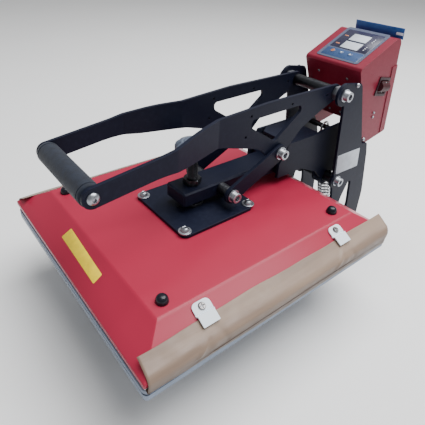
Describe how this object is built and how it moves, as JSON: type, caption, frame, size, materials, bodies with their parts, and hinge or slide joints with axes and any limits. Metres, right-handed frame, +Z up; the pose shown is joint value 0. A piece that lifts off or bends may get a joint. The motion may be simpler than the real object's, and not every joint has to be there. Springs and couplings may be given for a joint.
{
  "type": "heat press",
  "caption": "Clamshell flat heat press with a bevelled sheet cover, toggle handle and links, pressure screw with lobed knob, lift spring and a tilted control box on two side columns",
  "frame": {"origin": "on the table, under the middle of the bounding box", "axes": "+X to the operator's right, +Y from the grip back to the control box, +Z up"},
  "size_m": [0.4022, 0.6139, 0.3754],
  "materials": {
    "frame_paint": "powder coat, dark blue-grey, satin",
    "cover_paint": "powder coat, red, satin",
    "box_paint": "powder coat, red, satin",
    "bolt_steel": "bright zinc plated steel",
    "shaft_steel": "ground steel",
    "black_oxide_steel": "black oxide",
    "spring_steel": "bright spring wire",
    "platen_aluminium": "cast and milled",
    "lower_aluminium": "milled plate",
    "silicone": "silicone, light grey",
    "foot_rubber": "black rubber",
    "cap_plastic": "black moulded caps",
    "knob_plastic": "dark grey moulded",
    "end_cap_plastic": "black moulded",
    "grip_foam": "black foam tube",
    "release_cloth": "coated glass cloth, tan, slight sheen",
    "clip_paint": "white, gloss",
    "mat_fibre": "fibre blanket",
    "heater_steel": "heater sheath, oxidised",
    "cutout_plastic": "phenolic",
    "panel_film": "printed film, blue-grey",
    "window_glass": "clear window",
    "board_laminate": "circuit board",
    "key_film": "domed key film",
    "switch_body": "black moulded",
    "rocker_red": "dark red, translucent look",
    "inlet_plastic": "black moulded"
  },
  "bodies": {
    "base": {"base_cross_members": "frame_paint", "base_rail_left": "frame_paint", "base_rail_right": "frame_paint", "rail_end_caps": "end_cap_plastic", "rubber_feet": "foot_rubber", "lower_platen": "lower_aluminium", "silicone_pad": "silicone", "platen_posts": "frame_paint", "column_left": "frame_paint", "column_right": "frame_paint", "column_bolts": "bolt_steel", "column_pivot_bolts": "bolt_steel", "lower_pivot_shaft": "black_oxide_steel", "handle_pivot_bushes": "bolt_steel", "spring_anchor_rod": "shaft_steel", "box_housing": "box_paint", "box_rear_cover": "box_paint", "box_screws": "bolt_steel", "panel_overlay": "panel_film", "display_windows": "window_glass", "control_board": "board_laminate", "rocker_housing": "switch_body", "power_inlet": "inlet_plastic"},
    "press_arm": {"press_beam": "frame_paint", "link_cross_shaft": "shaft_steel", "link_foot_bolts": "bolt_steel", "yoke_cheeks": "frame_paint", "yoke_web": "frame_paint", "lift_rod": "shaft_steel"},
    "platen": {"mount_plate": "frame_paint", "mount_bolts": "bolt_steel", "screw_seat": "shaft_steel", "guide_pins": "shaft_steel", "cover_tray": "cover_paint", "heat_platen": "platen_aluminium", "heating_element": "heater_steel", "insulation_mat": "mat_fibre", "platen_studs": "bolt_steel", "thermal_cutout": "cutout_plastic", "corner_caps": "cap_plastic", "release_sheet": "release_cloth", "sheet_clips": "clip_paint", "clip_screws": "bolt_steel"},
    "adjuster": {"pressure_screw": "black_oxide_steel", "pressure_knob": "knob_plastic"},
    "handle": {"handle_arm_left": "frame_paint", "handle_arm_right": "frame_paint", "handle_grip": "grip_foam", "grip_core_bar": "shaft_steel", "grip_end_screws": "bolt_steel", "handle_spacer_bar": "black_oxide_steel", "link_top_nuts": "bolt_steel"},
    "link_pair": {"links": "frame_paint", "link_top_bolts": "bolt_steel"},
    "spring": {"lift_spring": "spring_steel"},
    "rocker_body": {"rocker": "rocker_red"},
    "set_button": {"key_set": "key_film"},
    "down_button": {"key_down": "key_film"},
    "up_button": {"key_up": "key_film"}
  },
  "joints": [
    {"name": "press_arm_hinge", "type": "hinge", "parent": "base", "child": "press_arm", "pos_m": [0, 0.17925, 0.1405], "axis": [-1, 0, 0], "range_deg": [0, 45]},
    {"name": "handle_hinge", "type": "hinge", "parent": "base", "child": "handle", "pos_m": [0, 0.14345, 0.3045], "axis": [-1, 0, 0], "range_deg": [0, 101.8]},
    {"name": "link_hinge", "type": "hinge", "parent": "press_arm", "child": "link_pair", "pos_m": [0, -0.06525, 0.1922], "axis": [-1, 0, 0], "range_deg": [-76.5, 0]},
    {"name": "spring_hinge", "type": "hinge", "parent": "base", "child": "spring", "pos_m": [0, 0.25305, 0.037], "axis": [-1, 0, 0], "range_deg": [0, 15.3], "deforming": ["lift_spring"]},
    {"name": "pressure_slide", "type": "slide", "parent": "press_arm", "child": "platen", "axis": [0, 0, 1], "range_m": [0, 0.006]},
    {"name": "pressure_screw_turn", "type": "hinge", "parent": "platen", "child": "adjuster", "pos_m": [0, -0.10295, 0.249], "axis": [0, 0, 1], "range_deg": [0, 1081]},
    {"name": "rocker_hinge", "type": "hinge", "parent": "base", "child": "rocker_body", "pos_m": [0.05645, 0.25505, 0.298], "axis": [0, -0.9848, 0.1736], "range_deg": [0, 20]},
    {"name": "key_set_press", "type": "slide", "parent": "base", "child": "set_button", "axis": [0, 0.3957, -0.9184], "range_m": [0, 0.0006], "stiffness_N_per_m": 400},
    {"name": "key_down_press", "type": "slide", "parent": "base", "child": "down_button", "axis": [0, 0.3957, -0.9184], "range_m": [0, 0.0006], "stiffness_N_per_m": 400},
    {"name": "key_up_press", "type": "slide", "parent": "base", "child": "up_button", "axis": [0, 0.3957, -0.9184], "range_m": [0, 0.0006], "stiffness_N_per_m": 400}
  ],
  "couplings": [
    {"joint": "handle_hinge", "follows": "press_arm_hinge", "ratio": 2.258},
    {"joint": "link_hinge", "follows": "press_arm_hinge", "ratio": -1.693},
    {"joint": "spring_hinge", "follows": "press_arm_hinge", "ratio": 0.33486},
    {"joint": "pressure_screw_turn", "follows": "pressure_slide", "rad_per_m": 3141.6}
  ]
}
